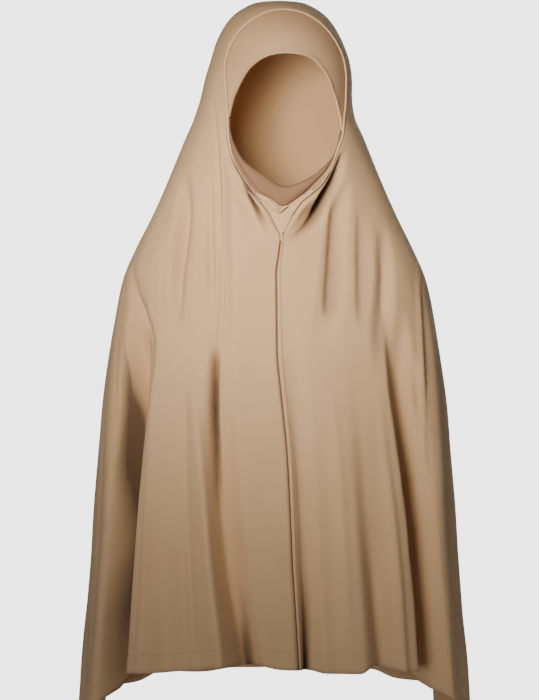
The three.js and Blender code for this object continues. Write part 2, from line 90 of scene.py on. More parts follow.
# Backdrop paper, evenly lit: it glows by itself, so it shows one pale tone and no shadow
paper, paper_shader = new_material("backdrop paper")
paper_shader.inputs["Base Color"].default_value = (0, 0, 0, 1)
paper_shader.inputs["Emission Color"].default_value = (1, 1, 1, 1)
paper_shader.inputs["Emission Strength"].default_value = backdrop_glow
bpy.ops.mesh.primitive_uv_sphere_add(
    segments=32, ring_count=16, radius=backdrop_radius, location=(0, 0, 0)
)
backdrop = bpy.context.object
backdrop.name = "backdrop"
backdrop.data.materials.append(paper)
for kind in ("diffuse", "glossy", "transmission", "shadow", "volume_scatter"):
    setattr(backdrop, "visible_" + kind, False)

world = bpy.data.worlds.new("studio")
bpy.context.scene.world = world
world.use_nodes = True
sky = world.node_tree.nodes["Background"]
sky.inputs["Color"].default_value = sky_colour
sky.inputs["Strength"].default_value = sky_glow


def soft_light(name, place, aim, size, spread, watts, colour):
    """A square soft box at a place, turned to what it is aimed at. Its spread is in degrees."""
    bpy.ops.object.light_add(type="AREA", location=place)
    light = bpy.context.object
    light.name = name
    light.data.size = size
    light.data.spread = math.radians(spread)
    light.data.energy = watts
    light.data.color = colour
    light.rotation_euler = (Vector(aim) - Vector(place)).to_track_quat("-Z", "Y").to_euler()


soft_light(
    "key light",
    place=(-0.29, -0.86, -0.14),
    aim=(0.025, -0.1, -0.26),
    size=0.3,
    spread=66,
    watts=1.9,
    colour=warm_white,
)
soft_light(
    "low light",
    place=(-1.1, -2.0, -0.9),
    aim=(0.0, -0.1, -0.6),
    size=0.9,
    spread=110,
    watts=5.3,
    colour=cool_white,
)
soft_light(
    "side light",
    place=(1.7, -1.2, -0.6),
    aim=(0.1, 0.0, -0.55),
    size=1.0,
    spread=110,
    watts=1.2,
    colour=cool_white,
)
soft_light(
    "back light",
    place=(0.8, 2.3, 0.4),
    aim=(0.0, 0.1, -0.5),
    size=1.4,
    spread=120,
    watts=22,
    colour=plain_white,
)


# Veil. One length of viscose jersey is the hood and the cape, sewn down the centre front below the
# throat and hemmed at the foot. It is draped as a fine sheet over the form that the wearer gives it.
mm = 0.001
head_width, head_depth, chin_drop = 184, 196, 225
shoulder_width, shoulder_drop, chest_depth = 378, 346, 210
hem_width, hem_depth, hem_drop = 490, 302, 905
fold_depth = 56
wall, underlap = 1.6, 5

# drop, wide, front, back, square and lean of each level section, as shares of its zone's sizes
hood_sections = [
    (0, 0, 0, 0, 2, 0.054),
    (0.009, 0.337, 0.306, 0.337, 2, 0.054),
    (0.036, 0.489, 0.469, 0.51, 2, 0.054),
    (0.091, 0.663, 0.653, 0.704, 2, 0.056),
    (0.204, 0.837, 0.847, 0.908, 2, 0.061),
    (0.316, 0.935, 0.929, 0.99, 2, 0.07),
    (0.427, 1, 0.959, 1.031, 2, 0.049),
    (0.538, 1.033, 0.969, 1.041, 2, 0.016),
    (0.649, 1.098, 0.959, 1.041, 2, -0.005),
    (0.76, 1.217, 0.939, 1.031, 2, 0),
    (0.871, 1.326, 0.918, 1.02, 2, 0),
    (1, 1.457, 0.883, 1.01, 2, 0),
]
neck_sections = [
    (0.38, 0.82, 0.79, 0.962, 2.05, 0),
    (0.69, 0.918, 0.83, 1.02, 2.13, 0),
    (1, 1, 0.905, 1.095, 2.2, 0),
]
cape_sections = [
    (0.089, 0.816, 0.709, 0.808, 2.25, 0),
    (0.179, 0.849, 0.768, 0.841, 2.3, 0),
    (0.313, 0.886, 0.815, 0.874, 2.3, 0),
    (0.671, 0.947, 0.894, 0.947, 2.3, 0),
    (1, 1, 0.966, 1.02, 2.3, 0),
]


def curve(xs, ys, first=None, last=None):
    """A smooth curve through points that never overshoots them."""
    xs, ys = np.array(xs, float), np.array(ys, float)
    step = np.diff(xs)
    rise = np.diff(ys) / step
    slope = np.zeros(len(xs))
    for i in range(1, len(xs) - 1):
        if rise[i - 1] * rise[i] > 0:
            near, far = 2 * step[i] + step[i - 1], step[i] + 2 * step[i - 1]
            slope[i] = (near + far) / (near / rise[i - 1] + far / rise[i])
    slope[0] = rise[0] if first is None else first
    slope[-1] = rise[-1] if last is None else last

    def value(x):
        x = np.clip(x, xs[0], xs[-1])
        i = np.clip(np.searchsorted(xs, x, side="right") - 1, 0, len(xs) - 2)
        t = (x - xs[i]) / step[i]
        return (
            (1 + 2 * t) * (1 - t) ** 2 * ys[i]
            + t * (1 - t) ** 2 * step[i] * slope[i]
            + t * t * (3 - 2 * t) * ys[i + 1]
            + t * t * (t - 1) * step[i] * slope[i + 1]
        )

    return value


sections = []
for rows, above, tall, wide, deep in (
    (hood_sections, 0, chin_drop, head_width / 2, head_depth / 2),
    (neck_sections, chin_drop, shoulder_drop - chin_drop, shoulder_width / 2, chest_depth / 2),
    (cape_sections, shoulder_drop, hem_drop - shoulder_drop, hem_width / 2, hem_depth / 2),
):
    for drop, across, front, back, square, lean in rows:
        sections.append(
            (above + drop * tall, across * wide, front * deep, back * deep, square, lean * wide)
        )
sections = np.array(sections)
section_steps = np.hypot(np.diff(sections[:, 0]), np.diff(sections[:, 1]))
reaches = np.concatenate([[0], np.cumsum(section_steps)])
drop_at = curve(reaches, sections[:, 0], 0)
wide_at = curve(reaches, sections[:, 1])
front_at = curve(reaches, sections[:, 2])
back_at = curve(reaches, sections[:, 3])
square_at = curve(reaches, sections[:, 4], 0)
lean_at = curve(reaches, sections[:, 5], 0)
fine_reach = np.linspace(0, reaches[-1], 6000)


def reach_of(drop):
    return np.interp(drop, drop_at(fine_reach), fine_reach)


def plain_point(x, y):
    """The plain form of the cloth at a place on it, spread flat about its crown, in millimetres."""
    reach = np.maximum(1e-6, np.hypot(x, y))
    side, ahead = x / reach, -y / reach
    power = square_at(reach)
    round_off = (np.abs(side) ** power + np.abs(ahead) ** power) ** (-1 / power)
    depth = np.where(ahead > 0, front_at(reach), back_at(reach))
    return np.stack(
        [
            wide_at(reach) * round_off * side + lean_at(reach),
            -depth * round_off * ahead,
            wall - drop_at(reach),
        ],
        -1,
    )


def unit(vector):
    return vector / np.linalg.norm(vector, axis=-1, keepdims=True)


nudge = 0.5


def slopes(x, y):
    """How the plain form runs across and along at a place on it."""
    across = plain_point(x + nudge, y) - plain_point(x - nudge, y)
    along = plain_point(x, y + nudge) - plain_point(x, y - nudge)
    return across, along


def outward_of(x, y):
    return unit(np.cross(*slopes(x, y)))


def soft(x):
    x = np.clip(x, 0, 1)
    return x * x * (3 - 2 * x)


def mix(a, b, t):
    return a + (b - a) * t


# The cloth's front edge and the face opening: drop as a share of the chin's, left and right turn
cloth_edge_rows = [
    (0.064, 0, 0),
    (0.071, -12, 15),
    (0.084, -22, 26),
    (0.107, -31, 35),
    (0.138, -39, 43),
    (0.182, -47, 50),
    (0.231, -52, 55),
    (0.293, -56, 59),
    (0.356, -56, 61),
    (0.44, -52, 62),
    (0.524, -47.5, 62),
    (0.609, -43, 59),
    (0.676, -40, 53),
    (0.769, -36, 44.5),
    (0.862, -31, 36),
    (0.956, -24, 28.5),
    (1.036, -17.5, 21.5),
    (1.08, -13.5, 16),
    (1.129, -10, 10),
    (1.173, -6.7, 7),
    (1.227, -3.8, 4),
    (1.324, 0, 0),
]
face_edge_rows = [
    (0.327, 0, 0),
    (0.334, -11, 13),
    (0.356, -20, 22),
    (0.404, -28.5, 31),
    (0.458, -33, 38),
    (0.516, -36, 43),
    (0.573, -38, 47.5),
    (0.644, -38, 49.5),
    (0.702, -36.5, 47.5),
    (0.764, -33.3, 42),
    (0.831, -28.2, 37),
    (0.889, -23.2, 31),
    (0.942, -16.5, 24),
    (0.996, -8, 15.5),
    (1.048, 2, 2),
]
# The chin band's lower edge from its left end to its right end: drop and turn
chin_edge_rows = [
    (0.6, -46),
    (0.8, -36),
    (0.99, -22),
    (1.067, -14),
    (1.112, -5),
    (1.15, 1),
    (1.1, 9),
    (1.035, 17),
    (0.93, 29),
    (0.77, 45),
    (0.6, 60),
]
# The hem: turn, and drop as a share of the hem's
hem_rows = [
    (-180, 0.938),
    (-150, 0.94),
    (-125, 0.955),
    (-105, 0.985),
    (-90, 0.998),
    (-75, 0.988),
    (-66, 0.969),
    (-62.5, 0.953),
    (-61.2, 0.94),
    (-60.4, 0.925),
    (-59.6, 0.912),
    (-49.5, 0.911),
    (-44, 0.91),
    (-38, 0.909),
    (-30, 0.905),
    (-19, 0.899),
    (-11, 0.897),
    (-5, 0.903),
    (4, 0.905),
    (9, 0.909),
    (21, 0.91),
    (24, 0.904),
    (27, 0.9),
    (31, 0.904),
    (38, 0.911),
    (41, 0.911),
    (50.5, 0.912),
    (51.5, 0.925),
    (52.5, 0.935),
    (55, 0.95),
    (62, 0.968),
    (75, 0.988),
    (90, 0.998),
    (105, 0.985),
    (125, 0.955),
    (150, 0.94),
    (180, 0.938),
]

face_middle_share = 0.62
face_middle = float(reach_of(face_middle_share * chin_drop))
loop_points = 400


def angle_of(x, y):
    return np.degrees(np.arctan2(x, -(y + face_middle)))


def distance_of(x, y):
    return np.hypot(x, y + face_middle)


def face_place(angle, distance):
    a = np.radians(angle)
    return distance * np.sin(a), -face_middle - distance * np.cos(a)


def loop_distance(x, y):
    """How far a loop of places lies from the middle of the face, at each angle round it."""
    angles, distances = angle_of(x, y), distance_of(x, y)
    order = np.argsort(angles)
    angles, distances = angles[order], distances[order]
    around = np.concatenate([[angles[-1] - 360], angles, [angles[0] + 360]])
    outward = np.concatenate([[distances[-1]], distances, [distances[0]]])
    return lambda angle: np.interp((np.asarray(angle) + 180) % 360 - 180, around, outward)


def edge_loop(rows, turn_columns, top=None, foot=None):
    """The loop through a table of drops and turns, with its slope at the top and the foot."""
    rows = np.array(rows, float)
    index = np.arange(len(rows))
    t = np.linspace(0, len(rows) - 1, loop_points)[1:-1]
    reach = reach_of(curve(index, rows[:, 0] * chin_drop, top, foot)(t))
    turns = np.concatenate([curve(index, rows[:, c])(t) for c in turn_columns])
    reach = np.tile(reach, len(turn_columns))
    return loop_distance(reach * np.sin(np.radians(turns)), -reach * np.cos(np.radians(turns)))


cloth_edge = edge_loop(cloth_edge_rows, (1, 2), top=0)
face_edge = edge_loop(face_edge_rows, (1, 2), top=0, foot=0)
chin_edge = edge_loop(chin_edge_rows, (1,))
hem_share = curve([row[0] for row in hem_rows], [row[1] for row in hem_rows], 0)


def edge_frame(angle):
    """The cloth's front edge: its place and point, the way out of it and the way in to the face."""
    x, y = face_place(angle, cloth_edge(angle))
    ahead = plain_point(*face_place(angle + 1, cloth_edge(angle + 1)))
    behind = plain_point(*face_place(angle - 1, cloth_edge(angle - 1)))
    outward = outward_of(x, y)
    inward = unit(np.cross(outward, ahead - behind))
    return x, y, plain_point(x, y), outward, inward


throat_angle = 12


def edge_offset(inside):
    """A loop at a true distance inside, or below zero outside, the cloth's front edge."""
    angles = np.linspace(throat_angle, 360 - throat_angle, loop_points)
    x, y, _, _, inward = edge_frame(angles)
    across, along = slopes(x, y)
    a, b, c = (across * across).sum(-1), (across * along).sum(-1), (along * along).sum(-1)
    u, v = (across * inward * inside).sum(-1), (along * inward * inside).sum(-1)
    scale = 2 * nudge / (a * c - b * b)
    return loop_distance(x + (c * u - b * v) * scale, y + (a * v - b * u) * scale)


under_loop = edge_offset(-underlap)


def under_edge(angle):
    return np.maximum(under_loop(angle), cloth_edge(angle) + underlap)


# Large folds: drops as shares of the hem's, turns, depths as shares of the deepest, half width in
# degrees, sharpness (1 is a crease, 4 a flat floor) and how far the fold rolls over sideways
large_folds = [
    ([0.2, 0.25, 0.285, 0.33], [-34, -24, -16, -8], [0, -0.06, -0.1, 0], 6.5, 1.5, 0),
    ([0.2, 0.25, 0.285, 0.34], [42, 28, 18.5, 4], [0, -0.14, -0.2, 0], 8, 1.5, 0),
    ([0.12, 0.22, 0.3, 0.48], [-62, -35, -26, -20], [0, 0.05, 0.07, 0], 4, 1.5, 0),
    ([0.4, 0.58, 0.76, 0.92], [-21, -20, -16, -10.5], [0, -0.16, -0.27, -0.34], 6, 2, 0.1),
    ([0.38, 0.58, 0.76, 0.92], [-27, -26.5, -23.5, -18], [0, 0.12, 0.18, 0.22], 6, 2, 0.1),
    ([0.23, 0.31, 0.37, 0.5], [-62, -47, -41, -38], [0, -0.12, -0.12, 0], 8, 2, 0),
    ([0.35, 0.41, 0.46, 0.53], [-78, -61, -49, -46], [0, -0.12, -0.14, 0], 6, 1.5, 0),
    (
        [0.38, 0.54, 0.6, 0.68, 0.93],
        [-61, -53, -53.5, -54.8, -56],
        [0, -0.65, -0.82, -0.96, -0.95],
        7,
        3,
        0.1,
    ),
    ([0.44, 0.6, 0.78, 0.95], [-77, -67, -64, -64], [0, 0.05, 0.08, 0.08], 7, 2, 0),
    ([0.6, 0.74, 0.84, 0.93], [-38, -37, -36, -35], [0, -0.1, -0.14, -0.16], 7, 2, 0),
    ([0.38, 0.56, 0.74, 0.92], [1, 4.5, 6, 7.5], [0, -0.07, -0.15, -0.3], 5, 2, 0),
    ([0.24, 0.3, 0.38, 0.48], [40, 27, 19, 14], [0, -0.1, -0.1, 0], 6, 2, 0),
    ([0.3, 0.36, 0.44, 0.52], [54, 44, 37, 34], [0, -0.1, -0.12, 0], 6, 2, 0),
    ([0.48, 0.66, 0.8, 0.92], [17, 19, 20.5, 22], [0, 0.06, 0.1, 0.12], 7, 2, 0),
    ([0.54, 0.68, 0.8, 0.92], [24, 27, 29, 30], [0, -0.06, -0.14, -0.18], 7, 2, 0),
    (
        [0.41, 0.52, 0.6, 0.73, 0.93],
        [44, 42, 43.6, 46.5, 48.5],
        [0, -0.35, -0.6, -0.9, -0.92],
        6.5,
        3,
        -0.1,
    ),
    ([0.38, 0.53, 0.74, 0.93], [70, 60.5, 56.5, 57], [0, 0.06, 0.09, 0.09], 7, 2, 0),
]
# Six even folds in the back
for back_turn in (-160, -136, -112, 112, 136, 160):
    large_folds.append(([0.36, 0.58, 0.8, 1], [back_turn] * 4, [0, -0.2, -0.34, -0.4], 11, 2, 0))

# Small folds: drops, turns in degrees, depths, and the widths of their left and right sides. A fold
# that still has a depth at its last drop runs on to the hem.
small_folds = {
    "left crevice": (
        [190, 203, 218, 232, 248, 262, 276, 292],
        [-30.8, -27.0, -21.6, -17.4, -13.9, -10.9, -8.0, -4.8],
        [0, -10, -20, -24, -20, -13, -6, 0],
        8,
        4.5,
    ),
    "right crevice": (
        [188, 200, 215, 229, 242, 256, 270, 282, 300],
        [38, 35.0, 30.5, 26.6, 22.7, 18.9, 15.3, 11.5, 4],
        [0, -6, -13, -18, -20, -18, -12, -7, 0],
        8,
        13,
    ),
    "left rolled edge": ([233, 254, 275, 291], [-18.0, -11.9, -5.8, -1.7], [0, 2.5, 2.5, 0], 4, 4),
    "right rolled edge": ([226, 245, 265, 287], [22.2, 15.4, 8.8, 3.0], [0, 4, 4, 0], 6, 7),
    "left hood line": (
        [116, 141, 170, 201, 238, 281, 329, 386, 435],
        [-61.2, -52.7, -43.5, -37.1, -31.7, -26.8, -22.8, -21.2, -21.4],
        [0, -1.6, -2.4, -2.6, -2.8, -3.2, -3.8, -4, 0],
        6,
        5,
    ),
    "left hood ridge": (
        [142, 189, 238, 287, 336, 386, 435],
        [-47.9, -36.7, -29.4, -24.2, -20.7, -19.4, -19.4],
        [0, 1.4, 1.8, 2.2, 2.4, 2.4, 0],
        6,
        9,
    ),
    "left breast pocket": (
        [424, 455, 505, 541, 589, 637],
        [-22.0, -22.1, -21.9, -21.3, -20.6, -19.9],
        [0, -10, -14, -12, -8, 0],
        9,
        5,
    ),
    "left breast line": (
        [435, 469, 517, 565, 625, 684],
        [-20.6, -20.7, -20.3, -19.7, -18.5, -17.0],
        [0, 2.5, 3, 2.5, 2, 0],
        5,
        9,
    ),
    "right fold one": (
        [207, 270, 328, 372, 400],
        [33.2, 24.5, 19.1, 16.5, 15.7],
        [0, -3.5, -5.5, -6, 0],
        8,
        24,
    ),
    "right fold two": (
        [249, 285, 328, 372, 409],
        [42.6, 36.9, 31.4, 28.5, 27.5],
        [0, -3, -4.5, -4, 0],
        8,
        18,
    ),
    "right fold three": (
        [310, 335, 372, 403],
        [45.9, 42.2, 38.8, 37.0],
        [0, -2, -2.6, 0],
        7,
        10,
    ),
    "left valley one": (
        [205, 270, 317, 372, 409],
        [-63.3, -47.2, -41.6, -38.5, -37.6],
        [0, -7, -10, -8, 0],
        18,
        9,
    ),
    "left valley two": (
        [298, 329, 372, 409],
        [-54.2, -48.2, -44.1, -41.7],
        [0, -3.5, -4, 0],
        9,
        6,
    ),
    "left valley three": (
        [207, 274, 336, 379],
        [-41.8, -32.4, -26.4, -24.6],
        [0, -5, -6, 0],
        11,
        6,
    ),
    "left shoulder ridge": (
        [360, 378, 398, 423, 463, 506],
        [-62.9, -57, -51.4, -45.4, -44.2, -44.3],
        [0, 1.5, 3, 4.5, 4.5, 3],
        5,
        14,
    ),
    "left shoulder hollow": (
        [353, 378, 409, 435],
        [-72.4, -58.7, -49.6, -47.6],
        [0, -3, -4.5, 0],
        7,
        4,
    ),
    "left arm line": (
        [402, 445, 519, 591, 664, 736],
        [-72.5, -69.2, -63.5, -61.5, -61.5, -62],
        [0, -1.6, -2, -2, -1.6, 0],
        3.5,
        5,
    ),
    "left side valley": (
        [425, 470, 518, 566, 614, 663, 711, 772, 817],
        [-64.0, -61.0, -59.0, -59.2, -58.6, -58.0, -58.9, -60, -60],
        [0, -12, -16, -18, -21, -21, -17, -11, -8],
        9,
        11,
    ),
    "right side valley": (
        [430, 451, 494, 543, 591, 640, 688, 737, 785, 819],
        [47, 48, 49.4, 49.8, 49.6, 49.2, 49, 49, 49, 49.2],
        [0, -4, -7, -8, -8, -8, -8, -7, -6, -6],
        11,
        12,
    ),
    "right breast edge": (
        [433, 493, 554, 614, 686, 752, 815],
        [21.0, 21.0, 21.5, 21.9, 22.3, 22.7, 22.7],
        [0, 1.5, 2, 2.5, 2.5, 2.5, 2],
        28,
        14,
    ),
    "valley by the seam": (
        [487, 553, 613, 685, 756, 818],
        [2.4, 4.0, 4.9, 5.6, 6.2, 6.3],
        [0, -2, -3, -4, -9, -13],
        7,
        9,
    ),
    "right arm ridge": (
        [421, 494, 581, 665, 754],
        [54.6, 52.2, 50.6, 49.2, 47.7],
        [0, 3, 4, 4, 3],
        9,
        3.5,
    ),
    "right shoulder line": (
        [312, 359, 385, 445, 494],
        [83.8, 62.6, 59.0, 53.8, 51.4],
        [0, 2, 3, 3, 0],
        9,
        3.5,
    ),
    "small crease": ([616, 631, 647], [-40.0, -36.3, -32.3], [0, -1.3, 0], 3.5, 3.5),
    "right low hollow": (
        [650, 734, 782, 825],
        [27, 27.6, 28, 28.8],
        [0, -5, -9, -10],
        14,
        13,
    ),
    "left low hollow": (
        [700, 750, 785, 825],
        [-15, -12.6, -11.4, -10],
        [0, -4, -10, -12],
        7,
        9,
    ),
    "left breast edge": (
        [463, 517, 589, 661, 720, 780, 813],
        [-30.9, -27.7, -25.0, -23.0, -21.2, -19.1, -18.4],
        [0, 3.5, 6, 6.5, 6.5, 6, 6],
        14,
        8,
    ),
    "left breast valley": (
        [560, 613, 649, 684, 732, 768, 800],
        [-20.9, -20.2, -19.4, -18.4, -16.4, -14.3, -12.8],
        [0, -4, -6, -7, -7, -6, -5],
        12,
        16,
    ),
    "left panel crease": (
        [445, 520, 600, 700, 800],
        [-32.8, -31.6, -30.2, -28.4, -26.6],
        [0, -2, -3, -3, -2],
        8,
        8,
    ),
    "right middle hollow": (
        [470, 540, 640, 760, 815],
        [15.5, 16.5, 17.5, 18, 18],
        [0, 1.6, 2.4, 2.4, 1.6],
        14,
        10,
    ),
    "right panel ridge": (
        [470, 560, 660, 760, 820],
        [31.5, 33, 35, 36, 36.5],
        [0, 2, 3.5, 4, 4],
        12,
        8,
    ),
    "left panel hollow": ([517, 613, 697], [-35.6, -33.1, -31.4], [0, -2, 0], 9, 9),
}

# The large folds rise over the first 14 mm from the cloth's edge, the small ones over 6 mm from 3 mm in
fold_start, small_start, small_rise = 14, 3, 6
small_sharpness, run_on = 1.5, 900
# The free hem's waves: height, number and shift, then where they start and over how much they rise,
# as shares of its drop
hem_wave, hem_waves, hem_wave_shift = 2.6, 15, 0.8
wave_start, wave_rise = 0.8, 0.12
unevenness = 0.45


def large_push(drop, turn):
    """How far the large folds push the cloth out, and sideways."""
    out, sideways = np.zeros_like(drop), np.zeros_like(drop)
    for drops, turns, deeps, wide, sharp, roll in large_folds:
        drops = np.array(drops) * hem_drop
        away = (turn - curve(drops, turns)(drop) + 180) % 360 - 180
        u = np.minimum(1, np.abs(away) / wide)
        deep = curve(drops, np.array(deeps) * fold_depth, 0)(drop)
        push = np.where(drop > drops[0], deep, 0) * (1 - u**sharp) ** 2
        out += push
        sideways += np.abs(push) * roll
    return out, sideways


def small_push(drop, turn, reach, only=()):
    """How far the small folds, or only the named ones, push the cloth out."""
    out = np.zeros_like(drop)
    t = np.radians(turn)
    degree = np.hypot(wide_at(reach) * np.cos(t), front_at(reach) * np.sin(t)) * math.pi / 180
    for name, (drops, turns, deeps, left, right) in small_folds.items():
        if only and name not in only:
            continue
        away = ((turn - curve(drops, turns)(drop) + 180) % 360 - 180) * degree
        u = np.minimum(1, np.where(away < 0, -away / left, away / right))
        inside = (drop > drops[0]) & (drop < drops[-1] + (1 if deeps[-1] == 0 else run_on))
        out += np.where(inside, curve(drops, deeps, 0)(drop), 0) * (1 - u**small_sharpness) ** 2
    return out


def cloth_point(x, y):
    """The draped cloth, with its folds, at a place on it spread flat about its crown."""
    reach = np.hypot(x, y)
    drop = drop_at(reach)
    turn = np.degrees(np.arctan2(x, -y))
    outward = outward_of(x, y)
    sideways = np.stack([-outward[..., 1], outward[..., 0], np.zeros_like(drop)], -1)
    angle, distance = angle_of(x, y), distance_of(x, y)
    push, roll = large_push(drop, turn)
    share = soft((distance - under_edge(angle)) / fold_start)
    small_share = soft((distance - cloth_edge(angle) - small_start) / small_rise)
    small = small_push(drop, turn, reach) * small_share
    # The free hem waves a little, and cloth never hangs quite even
    near_hem = soft((drop - hem_drop * wave_start) / (hem_drop * wave_rise))
    wave = hem_wave * np.sin(np.radians(turn) * hem_waves + hem_wave_shift) * near_hem
    uneven = unevenness * np.sin(x / 23 + 1.3 * np.sin(y / 41)) * np.sin(y / 37 + 0.7)
    out = push * share + small + (wave + uneven) * share
    return plain_point(x, y) + outward * out[..., None] + sideways * (roll * share)[..., None]


# The seam leans to one side on its way down: its turn at each drop
seam_turn = curve(
    [297, 319, 343, 435, 481, 517, 560, 645, 690, 731, 816],
    [0, -1, -2, -2, -1, 0, 1, 2, 2.4, 3, 4],
)
# The cloth within about 14 degrees of it leans with it. The stitches sink it, and the pressed edge of
# the right side stands up beside it as a lip.
seam_pull = 14
seam_depth, seam_width, lip_height, lip_away, lip_width = 3.6, 1.4, 1.8, 4.0, 2.2

# The grid's columns crowd at the front, and its rows at the front edge
columns, rows, front_crowding, edge_crowding = 318, 150, 0.62, 1.3
s = np.arange(columns) / columns
angles = 360 * (s - front_crowding * np.sin(2 * np.pi * s) / (2 * np.pi))
angles = np.where(angles > 180, angles - 360, angles)
alongs = (np.arange(rows + 1) / rows) ** edge_crowding
angle, along = np.meshgrid(angles, alongs, indexing="ij")
seam_distance = mix(cloth_edge(0), reach_of(hem_share(0) * hem_drop), alongs)
seam_reach = face_middle * (1 - alongs) ** 2 + seam_distance
seam_lean = seam_reach * np.sin(np.radians(seam_turn(drop_at(seam_reach)))) / seam_distance
shifted = angle + np.degrees(np.arcsin(seam_lean)) * np.exp(-((angle / seam_pull) ** 2))
distance = mix(cloth_edge(angle), reach_of(hem_share(angle) * hem_drop), along)
place_x = distance * np.sin(np.radians(shifted))
place_y = -face_middle * (1 - along) ** 2 - distance * np.cos(np.radians(shifted))
cloth = cloth_point(place_x, place_y)
steps_round = np.linalg.norm(np.roll(cloth, -1, axis=0) - cloth, axis=-1)
half = columns // 2
left_round = -np.cumsum(steps_round[half:][::-1], axis=0)[::-1]
right_round = np.cumsum(steps_round[: half - 1], axis=0)
from_seam = np.concatenate([np.zeros((1, rows + 1)), right_round, left_round])
sink = -seam_depth * np.exp(-((from_seam / seam_width) ** 2))
lip = lip_height * np.exp(-(((from_seam - lip_away) / lip_width) ** 2))
cloth += outward_of(place_x, place_y) * (sink + lip)[..., None]
# How deep each place lies in the closed creases, which the material darkens with painted shade
reach = np.hypot(place_x, place_y)
turn = np.degrees(np.arctan2(place_x, -place_y))
closed = (
    "left crevice",
    "right crevice",
    "valley by the seam",
    "left side valley",
    "left breast pocket",
    "left low hollow",
    "right fold one",
    "right fold two",
)
crease_depth = -small_push(drop_at(reach), turn, reach, closed)


def cloth_object(name, points, faces):
    """A smooth piece from its points, in millimetres, and its faces."""
    mesh = bpy.data.meshes.new(name)
    mesh.from_pydata((points.reshape(-1, 3) * mm).tolist(), [], faces)
    obj = bpy.data.objects.new(name, mesh)
    bpy.context.collection.objects.link(obj)
    for polygon in mesh.polygons:
        polygon.use_smooth = True
    return obj


def add_distance(obj, name, values):
    """Stores one distance a point, in metres, for the material to read."""
    layer = obj.data.attributes.new(name, "FLOAT", "POINT")
    layer.data.foreach_set("value", (values * mm).astype(np.float32).ravel())


column, row = np.meshgrid(np.arange(columns), np.arange(rows), indexing="ij")
here = column * (rows + 1) + row
beside = (column + 1) % columns * (rows + 1) + row
quads = np.stack([here, here + 1, beside + 1, beside], -1).reshape(-1, 4)
veil = cloth_object("veil_cloth", cloth, quads.tolist())
steps_down = np.linalg.norm(np.diff(cloth, axis=1), axis=-1)
from_edge = np.concatenate([np.zeros((columns, 1)), np.cumsum(steps_down, axis=1)], axis=1)
from_hem = from_edge[:, -1:] - from_edge
add_distance(veil, "from_edge", from_edge)
add_distance(veil, "from_hem", from_hem)
# The painted shadow along the rim reaches only near the throat: away from it, the rim counts as out of
# reach
throat_turn, throat_fade, out_of_reach = 66, 16, 20
beside_throat = soft((np.abs((angle + 180) % 360 - 180) - throat_turn) / throat_fade)
add_distance(veil, "rim", from_edge + out_of_reach * beside_throat)
add_distance(veil, "from_seam", from_seam)
add_distance(veil, "crease", crease_depth)
bpy.ops.object.select_all(action="DESELECT")
bpy.context.view_layer.objects.active = veil
veil.select_set(True)
thickness = veil.modifiers.new("cloth", "SOLIDIFY")
thickness.thickness = wall * mm
thickness.offset = -1
thickness.use_even_offset = False
bpy.ops.object.modifier_apply(modifier=thickness.name)

# Viscose jersey: a fine knit, piece dyed, which looks matt and soft with a slightly uneven tone. Its
# wales are about 0.6 mm apart, too fine to show, and are drawn 1 mm apart, with the fibres' grain at
# 2 mm. The dye's clouds are 90 mm wide. A wave of scale 1 repeats every 0.314 m.
jersey, jersey_shader = new_material("viscose jersey")
wale, grain_scale, cloud_scale = 0.001, 520.0, 11.0
# The last colour is the brown of the painted shade in the creases, the seam and the throat's rim
cloth_light, cloth_dark, painted_shade_brown = "#d0a87e", "#cba378", "#4b3427"


def node(material, kind, links=None, **settings):
    """Adds a node, with its settings and the sockets that feed it."""
    made = material.node_tree.nodes.new(kind)
    for name, value in settings.items():
        if hasattr(made, name):
            setattr(made, name, value)
        else:
            made.inputs[name.replace("_", " ")].default_value = value
    for name, socket in (links or {}).items():
        material.node_tree.links.new(socket, made.inputs[name])
    return made


def link(material, out, into):
    material.node_tree.links.new(out, into)


def distance_node(material, name):
    return node(material, "ShaderNodeAttribute", attribute_name=name).outputs["Fac"]


def calculate(material, operation, a, b):
    """A Math node of two sockets or numbers."""
    made = node(material, "ShaderNodeMath", operation=operation)
    for socket, value in ((made.inputs[0], a), (made.inputs[1], b)):
        if hasattr(value, "is_output"):
            link(material, value, socket)
        else:
            socket.default_value = value
    return made.outputs[0]


def knit(material, shader, across, down, light, dark):
    """Colour and bump of jersey, from the distances across and down it in metres."""
    spot = node(material, "ShaderNodeCombineXYZ", {"X": across, "Y": down}).outputs[0]
    cloud = node(material, "ShaderNodeTexNoise", {"Vector": spot}, Scale=cloud_scale, Detail=4.0)
    ramp = node(material, "ShaderNodeValToRGB", {"Fac": cloud.outputs["Fac"]})
    ramp.color_ramp.elements[0].position = 0.3
    ramp.color_ramp.elements[0].color = hex_colour(dark)
    ramp.color_ramp.elements[1].position = 0.7
    ramp.color_ramp.elements[1].color = hex_colour(light)
    grain = node(material, "ShaderNodeTexNoise", {"Vector": spot}, Scale=grain_scale, Detail=2.0)
    wales = node(
        material, "ShaderNodeTexWave", {"Vector": spot}, Scale=0.314 / wale, Distortion=0.8
    )
    shade = node(
        material, "ShaderNodeMapRange", {"Value": grain.outputs["Fac"]}, To_Min=0.93, To_Max=1.07
    )
    tint = node(material, "ShaderNodeVectorMath", {0: ramp.outputs["Color"]}, operation="SCALE")
    link(material, shade.outputs[0], tint.inputs["Scale"])
    link(material, tint.outputs[0], shader.inputs["Base Color"])
    height = calculate(material, "ADD", grain.outputs["Fac"], wales.outputs["Fac"])
    bump = node(material, "ShaderNodeBump", {"Height": height}, Strength=0.35, Distance=0.0002)
    link(material, bump.outputs[0], shader.inputs["Normal"])
    shader.inputs["Roughness"].default_value = 0.8
    shader.inputs["Specular IOR Level"].default_value = 0.25
    shader.inputs["Sheen Weight"].default_value = 0.06
    return tint, bump


across, down = distance_node(jersey, "from_seam"), distance_node(jersey, "from_edge")
tint, bump = knit(jersey, jersey_shader, across, down, cloth_light, cloth_dark)
